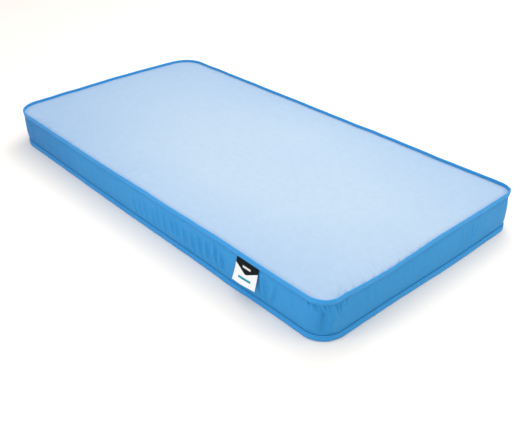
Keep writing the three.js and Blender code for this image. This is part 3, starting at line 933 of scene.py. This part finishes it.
def top_panel():
    rings = [
        (0.0034, LIP_TOP - 0.0045), (0.0036, LIP_TOP - 0.0070), (0.0044, LIP_TOP - 0.0084),
        (SEAM_INSET, LIP_TOP - 0.0088), (0.0080, LIP_TOP - 0.0086), (0.0110, LIP_TOP - 0.0082),
        (0.0145, LIP_TOP - 0.0078), (0.0185, LIP_TOP - 0.0075),
    ]
    grid, marks, insets = panel_grid(rings, PANEL_STEP)
    depth_in = np.maximum(insets - SEAM_INSET, -0.003)
    crown = 0.0034 * smooth(0, 0.09, depth_in) + 0.0020 * smooth(0.05, 0.33, depth_in)
    x, y = grid[..., 0], grid[..., 1]
    slow = 0.0003 * np.sin(7.1 * x + 1.3) * np.sin(9.7 * y + 0.4) + 0.00025 * np.sin(17 * x - 8 * y)
    lift = lip_lift(marks)
    held = 1 - 0.6 * smooth(-0.002, 0.006, depth_in) * (lift < 0)
    edge_lift = lift * held * np.exp(-np.maximum(depth_in, 0) / 0.12)
    grid[..., 2] += crown + edge_lift + slow * smooth(0, 0.05, depth_in)
    grid[..., 2] += pucker_relief(marks, depth_in, panel_puckers())
    bow_panel(grid, marks, insets, LIP_TOP)
    made = panel_mesh("top_panel_cloth", grid, CLOTH)
    piece(made, PANEL_CLOTH, "top_panel")


def bow_panel(grid, marks, insets, height):
    """Moves a panel's edge out with the bellied sides."""
    out = side_bow(marks, height) + (lip_sway(marks) if height == LIP_TOP else 0)
    out = out * np.exp(-insets / 0.10)
    along_long_side = HALF_Y - np.abs(grid[..., 1]) < HALF_X - np.abs(grid[..., 0])
    grid[..., 1] += np.where(along_long_side, np.sign(grid[..., 1]) * out, 0)
    grid[..., 0] += np.where(along_long_side, 0, np.sign(grid[..., 0]) * out)


def base_panel():
    rings = [
        (0.0036, FOOT + 0.0050), (0.0038, FOOT + 0.0080), (0.0050, FOOT + 0.0092), (0.0064, FOOT + 0.0084),
        (0.0072, FOOT + 0.0056), (0.0082, FOOT + 0.0024), (0.0104, 0.0006), (0.0145, 0.0),
    ]
    grid, marks, insets = panel_grid(rings, 2 * PANEL_STEP)
    bow_panel(grid, marks, insets, 0)
    made = panel_mesh("base_panel_cloth", grid, -CLOTH)
    made.data.flip_normals()
    piece(made, BASE_CLOTH, "base_panel")


# ---- labels ----
LABEL_THICKNESS = 0.0008


def hinge_of(body):
    return Vector(next(j["pos_m"] for j in frame["joints"] if j["child"] == body))


def label(name, body, material, node_name, side, tuck, trim, curl):
    """A label from inside the seam, out under the tape's edge, and down at its flare. Its own UVs run
    from -1 to 1 across and 0 to 1 down the part that shows. trim shortens it, and curl lifts its right
    lower corner."""
    low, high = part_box(node_name)
    hinge = hinge_of(body)
    half = (high.x - low.x) / 2 - 0.0010
    drop_z = hinge.z - low.z
    reach = (hinge.y - low.y) if side < 0 else (high.y - hinge.y)
    flare = math.atan2(reach, drop_z)
    drop = drop_z / math.cos(flare) - trim
    x = np.linspace(-half, half, 31)
    rows = np.linspace(-tuck, drop, 36)
    grid = np.zeros((len(rows), len(x), 3))
    right = smooth(-0.6 * half, half, x * -side)
    for i, s in enumerate(rows):
        out_of_seam = smooth(-tuck, 0.004, s)
        fall = max(s, 0) / drop
        lift = curl * right * fall**1.6
        out = abs(hinge.y) - HALF_Y - (1 - out_of_seam) * 0.0022 + max(s, 0) * math.sin(flare)
        wave = 0.0008 * np.sin(x / half * 2.2 + 0.6) * fall - 0.0016 * math.sin(math.pi * fall)
        grid[i, :, 0] = hinge.x + side * (0.0045 - 0.0020 * fall - x - 0.9 * lift)
        grid[i, :, 1] = side * (HALF_Y + out + wave + side_bow(hinge.x, hinge.z))
        grid[i, :, 2] = hinge.z - s * (math.cos(flare) if s > 0 else 1) + lift
    down = np.clip(rows / drop, -0.2, 1)
    made = sheet_mesh(name, grid, LABEL_THICKNESS, closed=False, along=x / half, across=down)
    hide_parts(node_name)
    made.data.materials.append(material)
    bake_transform(made)


# ---- zip ----
def zip_parts():
    for word, side in (("upper", 1), ("lower", -1)):
        low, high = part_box("zip_tape_" + word)
        x = np.linspace(high.x, low.x, 240)
        z = np.linspace(high.z, low.z, 12)
        grid = np.zeros((len(z), len(x), 3))
        grid[..., 0], grid[..., 2] = x[None], z[:, None]
        grid[..., 1] = high.y - 0.0002 + 0.0002 * np.sin(x * 40)[None]
        made = sheet_mesh("zip_tape_cloth_" + word, grid, high.y - low.y - 0.0003, closed=False)
        piece(made, ZIP_CLOTH, "zip_tape_" + word)
        coil(word, side)
        for name in ("zip_top_stop_" + word,) + (("zip_bottom_stop",) if side > 0 else ()):
            stop(name)


COIL_PITCH = 0.0015


def coil(word, side):
    """One nylon coil, whose turns mesh with the other's along the middle line."""
    low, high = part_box("zip_coil_" + word)
    turns = int((high.x - low.x) / COIL_PITCH)
    angle = np.linspace(0, 2 * math.pi * turns, turns * 10 + 1)
    x = low.x + 0.0004 + angle / (2 * math.pi) * COIL_PITCH + (COIL_PITCH / 2 if side > 0 else 0)
    wide = (high.z - low.z) / 2 + 0.0003
    deep = (high.y - low.y) / 2 - 0.00035
    z = (low.z + high.z) / 2 - side * 0.0004 + wide * np.cos(angle)
    y = (low.y + high.y) / 2 + deep * np.sin(angle)
    path = np.column_stack([x, y, z])
    piece(tube_mesh("zip_coil_turns_" + word, path, 0.00034, sides=5), COIL, "zip_coil_" + word)


def bevelled(name, polygon, y0, y1, bevel, segments=3):
    """A plate with rounded edges: a polygon in x and z, through a thickness along y."""
    count = len(polygon)
    verts = [(x, y0, z) for x, z in polygon] + [(x, y1, z) for x, z in polygon]
    mesh = bpy.data.meshes.new(name)
    faces = [tuple(range(count)), tuple(range(2 * count - 1, count - 1, -1))]
    faces += [(i, i + count, (i + 1) % count + count, (i + 1) % count) for i in range(count)]
    mesh.from_pydata(verts, [], faces)
    made = put(name, mesh)

    def round_off(bm):
        bmesh.ops.recalc_face_normals(bm, faces=bm.faces)
        edges = [e for e in bm.edges if e.calc_face_angle(0) > 0.5]
        bmesh.ops.bevel(bm, geom=edges, offset=bevel, segments=segments, affect="EDGES", profile=0.5)

    edit(made, round_off)
    shade_plate(mesh)
    return made


def shade_plate(mesh):
    """Smooth rounded edges round flat faces."""
    for face in mesh.polygons:
        face.use_smooth = abs(face.normal.y) < 0.98
    mesh.set_sharp_from_angle(angle=math.radians(40))


def select(objects):
    bpy.ops.object.select_all(action="DESELECT")
    for o in objects:
        o.select_set(True)
    bpy.context.view_layer.objects.active = objects[0]


def joined(objects, name):
    """Several meshes as one object."""
    select(objects)
    bpy.ops.object.join()
    objects[0].name = name
    objects[0].data.name = name
    return objects[0]


def oblong(x0, x1, z0, z1):
    return [(x0, z0), (x1, z0), (x1, z1), (x0, z1)]


def stop(name):
    """A crimped metal stop with a ridge along it."""
    low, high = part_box(name)
    x0, x1, z0, z1 = low.x, high.x, low.z, high.z
    c = 0.0005  # its cut corners
    polygon = [(x0 + c, z0), (x1 - c, z0), (x1, z0 + c), (x1, z1 - c), (x1 - c, z1), (x0 + c, z1),
               (x0, z1 - c), (x0, z0 + c)]
    plate = bevelled(name + "_plate", polygon, low.y, high.y, 0.0003)
    rib_z = (z0 + z1) / 2
    rib = oblong(x0 + 0.0007, x1 - 0.0007, rib_z - 0.0003, rib_z + 0.0003)
    ridge = bevelled(name + "_rib", rib, high.y - 0.0001, high.y + 0.0003, 0.00012)
    piece(joined([plate, ridge], name + "_crimp"), METAL, name)


def arc_points(cx, cz, radius, start, end, count):
    angles = np.linspace(math.radians(start), math.radians(end), count)
    return [(cx + radius * math.cos(a), cz + radius * math.sin(a)) for a in angles]


def slider():
    """Two plates, shield-shaped, with walls and an arch that holds the puller."""
    low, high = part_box("zip_slider")
    left, right = low.x, high.x
    cx, half = (left + right) / 2, (high.z - low.z) / 2
    narrow = half - 0.0008
    shield = (
        arc_points(left + 0.0016, MIDDLE - narrow + 0.0016, 0.0016, 180, 270, 5)
        + arc_points(right - 0.0034, MIDDLE - half + 0.0034, 0.0034, 285, 345, 6)
        + arc_points(right - 0.0034, MIDDLE + half - 0.0034, 0.0034, 15, 75, 6)
        + arc_points(left + 0.0016, MIDDLE + narrow - 0.0016, 0.0016, 90, 180, 5)
    )
    coil_low, coil_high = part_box("zip_coil_upper")
    front0 = coil_high.y + 0.0004
    tape_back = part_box("zip_tape_upper")[0].y
    parts = [
        bevelled("slider_front", shield, front0, front0 + 0.0012, 0.00035),
        bevelled("slider_back", shield, low.y, tape_back - 0.0004, 0.00035),
    ]
    for side in (-1, 1):
        z0, z1 = sorted((MIDDLE + side * (half - 0.001), MIDDLE + side * half))
        wall = oblong(cx, cx + 0.0034, z0, z1)
        parts.append(bevelled("slider_wall", wall, coil_low.y + 0.0002, front0 + 0.0002, 0.0002))
    # The arch: a flat bar.
    t = np.linspace(0, 1, 17)
    span = 0.0068
    rise = high.y - 0.0005 - (front0 + 0.0010)
    x = cx + span / 2 * -np.cos(math.pi * t)
    y = front0 + 0.0010 + rise * np.sin(math.pi * t) ** 0.45
    path = np.column_stack([x, y, np.full_like(x, MIDDLE)])
    parts.append(tube_mesh("slider_bail", path, 0.0005, sides=10, flat=2.1))
    piece(joined(parts, "slider_body"), METAL, "zip_slider", body="zip_slider")


def puller():
    """A tab with a hole near its round end, grip ribs, and a bar on two arms that turns in the arch."""
    low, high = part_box("zip_puller")
    pivot = hinge_of("zip_puller")
    half = (high.z - low.z) / 2
    end = low.x + half
    outer = arc_points(end, pivot.z, half, 90, 270, 17) + [
        (pivot.x - 0.0068, pivot.z - half + 0.0008), (pivot.x - 0.0060, pivot.z - half + 0.0016),
        (pivot.x - 0.0060, pivot.z + half - 0.0016), (pivot.x - 0.0068, pivot.z + half - 0.0008),
    ]
    tab = bevelled("puller_tab", outer, low.y, high.y, 0.0003)
    ring = arc_points(end, pivot.z, 0.0018, 0, 345, 24)
    hole = bevelled("hole", ring, low.y - 0.001, high.y + 0.001, 0.00001, 1)
    apply_modifier(tab, "BOOLEAN", operation="DIFFERENCE", object=hole, solver="EXACT")
    bpy.data.objects.remove(hole)
    shade_plate(tab.data)
    parts = [tab]
    for k in range(6):
        x = pivot.x - 0.0095 - 0.0019 * k
        rib = oblong(x - 0.0004, x + 0.0004, pivot.z - 0.0026, pivot.z + 0.0026)
        parts.append(bevelled("rib", rib, high.y - 0.0001, high.y + 0.00025, 0.00012))
    z = np.linspace(-0.0024, 0.0024, 9)
    bar = np.column_stack([np.full(9, pivot.x), np.full(9, pivot.y), pivot.z + z])
    parts.append(tube_mesh("puller_bar", bar, 0.00055, sides=10))
    for side in (-1, 1):
        x = np.linspace(pivot.x + 0.0002, pivot.x - 0.0066, 9)
        arm = np.column_stack([x, np.full(9, pivot.y), np.full(9, pivot.z + side * 0.0022)])
        parts.append(tube_mesh("puller_arm", arm, 0.0006, sides=10))
    piece(joined(parts, "puller_tab"), METAL, "zip_puller", body="zip_puller")


# ---- core ----
CORE_STEP = 0.014  # cell size of the foam blocks and the liner


def block(name, node_name, rounding, material):
    """A foam block with softened edges, from a panel grid above and below and a band between."""
    low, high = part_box(node_name)
    turn = [(FOAM_INSET + rounding * (1 - math.sin(a)), rounding * (1 - math.cos(a)))
            for a in np.linspace(math.pi / 2, 0, 5)]
    upper = panel_grid([(inset, high.z - up) for inset, up in turn], CORE_STEP)[0]
    lower = panel_grid([(inset, low.z + up) for inset, up in turn], CORE_STEP)[0]
    nx, ny = upper.shape[:2]
    verts = np.concatenate([upper.reshape(-1, 3), lower.reshape(-1, 3)])
    quads, rim = grid_faces(nx, ny)
    after = np.roll(rim, -1)
    band = np.column_stack([rim, rim + nx * ny, after + nx * ny, after])
    made = new_object(name, verts, np.concatenate([quads, quads[:, ::-1] + nx * ny, band]), sharp=60)
    piece(made, material, node_name)
    return made


def foams():
    support = block("support_foam_block", "support_foam", 0.004, SUPPORT_FOAM)
    comfort = block("comfort_foam_block", "comfort_foam", 0.016, COMFORT_FOAM)
    cut_slots(comfort)


CELLS_LONG, CELLS_WIDE, SLOT_WIDTH, SLOT_DEPTH = 14, 7, 0.003, 0.022


def cut_slots(foam):
    """Cuts the foam's top into cells, with slots across it both ways."""
    low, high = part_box("comfort_foam")
    cutters = []
    for cells, axis in ((CELLS_LONG, 0), (CELLS_WIDE, 1)):
        for k in range(1, cells):
            size = [3.0, 3.0, 2 * SLOT_DEPTH]
            size[axis] = SLOT_WIDTH
            centre = [0.0, 0.0, high.z]
            centre[axis] = low[axis] + (high[axis] - low[axis]) * k / cells
            bpy.ops.mesh.primitive_cube_add(size=1)
            box = bpy.context.object
            box.scale, box.location = size, centre
            select([box])
            bpy.ops.object.transform_apply(location=True, rotation=False, scale=True)
            cutters.append(box)
    cutter = joined(cutters, "slot_cutter")
    apply_modifier(foam, "BOOLEAN", operation="DIFFERENCE", object=cutter, solver="EXACT", use_self=True)
    bpy.data.objects.remove(cutter)


LINER_CLOTH = 0.0007
LINER_TURN = 0.024  # inset where the sock's rounded edge has become flat
MOUTH_HALF_WIDTH = HALF_Y - 0.075


def liner():
    """The knitted sock round the core: a skin with an open mouth at the left end."""
    low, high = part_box("inner_liner")
    inset = HALF_X - high.x
    flat, inner = inset + LINER_TURN, inset + 0.040
    top = panel_grid([(flat, high.z - 0.0006), (inner, high.z)], CORE_STEP)[0]
    bottom = panel_grid([(flat, low.z), (inner, low.z)], CORE_STEP)[0]
    rings = curve_through([
        (flat, high.z - 0.0006), (inset + 0.008, high.z - 0.005), (inset + 0.001, high.z - 0.013),
        (inset, high.z - 0.024), (inset, MIDDLE), (inset, low.z + 0.005),
        (inset + 0.001, low.z + 0.0012), (inset + 0.004, low.z), (flat, low.z),
    ], 28)
    nx, ny = top.shape[:2]
    plans = [ring_points(d, radii_at(z), (nx - 1, ny - 1, nx - 1, ny - 1))[0] for d, z in rings]
    side = np.array([np.column_stack([plan, np.full(len(plan), z)]) for plan, (_, z) in zip(plans, rings)])
    count = side.shape[1]
    verts = np.concatenate([top.reshape(-1, 3), bottom.reshape(-1, 3), side[1:-1].reshape(-1, 3)])
    quads, rim = grid_faces(nx, ny)
    between = [2 * nx * ny + k * count + np.arange(count) for k in range(len(rings) - 2)]
    rows = [rim] + between + [rim + nx * ny]
    faces = [quads, quads[:, ::-1] + nx * ny]
    for k in range(len(rings) - 1):
        a, b = rows[k], rows[k + 1]
        strip = np.column_stack([a, b, np.roll(b, -1), np.roll(a, -1)])
        x, y = plans[k].T
        in_mouth = (x < 0.04 - HALF_X) & (np.abs(y) < MOUTH_HALF_WIDTH)
        in_mouth &= low.z + 0.008 < (rings[k][1] + rings[k + 1][1]) / 2 < high.z - 0.008
        faces.append(strip[~in_mouth])
    made = new_object("liner_sock", verts, np.concatenate(faces), sharp=60)
    apply_modifier(made, "SOLIDIFY", thickness=LINER_CLOTH, offset=-1)
    edit(made, lambda bm: bmesh.ops.dissolve_degenerate(bm, dist=1e-6, edges=bm.edges))
    piece(made, LINER_KNIT, "inner_liner")


# ---- stage ----
# The camera, fitted to the eight corners of the mattress in the photograph.
CAMERA_PLACE = (1.4538, -1.1639, 1.0116)
CAMERA_TURNS = (48.81, 31.43, -1.078)  # degrees round Z, above the floor, and about its own line
CAMERA_LENS, CAMERA_SENSOR = 48.26, 36  # mm


def camera():
    """Looks down from the front right, as the photograph does."""
    azimuth, elevation, roll = (math.radians(a) for a in CAMERA_TURNS)
    back = Vector((math.sin(azimuth) * math.cos(elevation), -math.cos(azimuth) * math.cos(elevation),
                   math.sin(elevation)))
    right = (-back).cross(Vector((0, 0, 1))).normalized()
    up = right.cross(-back)
    turned_right = right * math.cos(roll) + up * math.sin(roll)
    turned_up = up * math.cos(roll) - right * math.sin(roll)
    data = bpy.data.cameras.new("camera")
    data.lens, data.sensor_width = CAMERA_LENS, CAMERA_SENSOR
    made = put("camera", data)
    axes = Matrix((turned_right, turned_up, back)).transposed().to_4x4()
    made.matrix_world = Matrix.Translation(CAMERA_PLACE) @ axes
    bpy.context.scene.camera = made


def area_light(name, place, target, size, power, colour=(1, 1, 1)):
    data = bpy.data.lights.new(name, "AREA")
    data.shape, data.size, data.size_y = "RECTANGLE", size[0], size[1]
    data.energy, data.color = power, colour
    made = put(name, data)
    made.location = place
    made.rotation_euler = (Vector(target) - Vector(place)).to_track_quat("-Z", "Y").to_euler()


def stage():
    floor = new_object("floor", [(-9, -9, 0), (9, -9, 0), (9, 9, 0), (-9, 9, 0)], [(0, 1, 2, 3)])
    floor.location.z = -0.0002
    look = Look("floor")
    look.set(Base_Color=(0.93, 0.885, 0.835), Roughness=0.9, Specular_IOR_Level=0.1)
    floor.data.materials.append(look.material)
    world = bpy.data.worlds.new("studio")
    bpy.context.scene.world = world
    world.use_nodes = True
    background = world.node_tree.nodes["Background"]
    background.inputs["Color"].default_value = (1.0, 1.0, 1.0, 1)
    background.inputs["Strength"].default_value = 0.85
    area_light("overhead", (0.35, 0.1, 2.4), (0.2, 0.0, 0), (2.4, 1.8), 15)
    area_light("rear", (-0.9, 1.7, 2.6), (-0.1, 0.0, 0.1), (2.0, 1.2), 28)
    area_light("front", (0.30, -1.6, 0.75), (0.30, -0.35, 0.06), (0.7, 0.4), 5.2)
    area_light("end", (2.1, 0.9, 0.9), (0.7, 0.1, 0.06), (1.0, 0.6), 8.5, (1.0, 0.93, 0.76))
    bpy.context.scene.view_settings.view_transform = "Standard"


# ---- build ----
camera()
stage()
top_panel()
base_panel()
border()
placket(1, "upper")
placket(-1, "lower")
tapes()
seam_stitches("top_stitches", "top_binding_thread", LIP_EDGE + 0.0020, tape_bend)
seam_stitches("bottom_stitches", "bottom_binding_thread", FOOT_TOP - 0.0020, foot_bend)
label("front_label_cloth", "front_label", LABEL_CLOTH, "front_label", -1, 0.006, 0.002, 0.006)
label("care_label_cloth", "care_label", CARE_CLOTH, "care_label", 1, 0.006, 0.0, 0.002)
zip_parts()
slider()
puller()
foams()
liner()
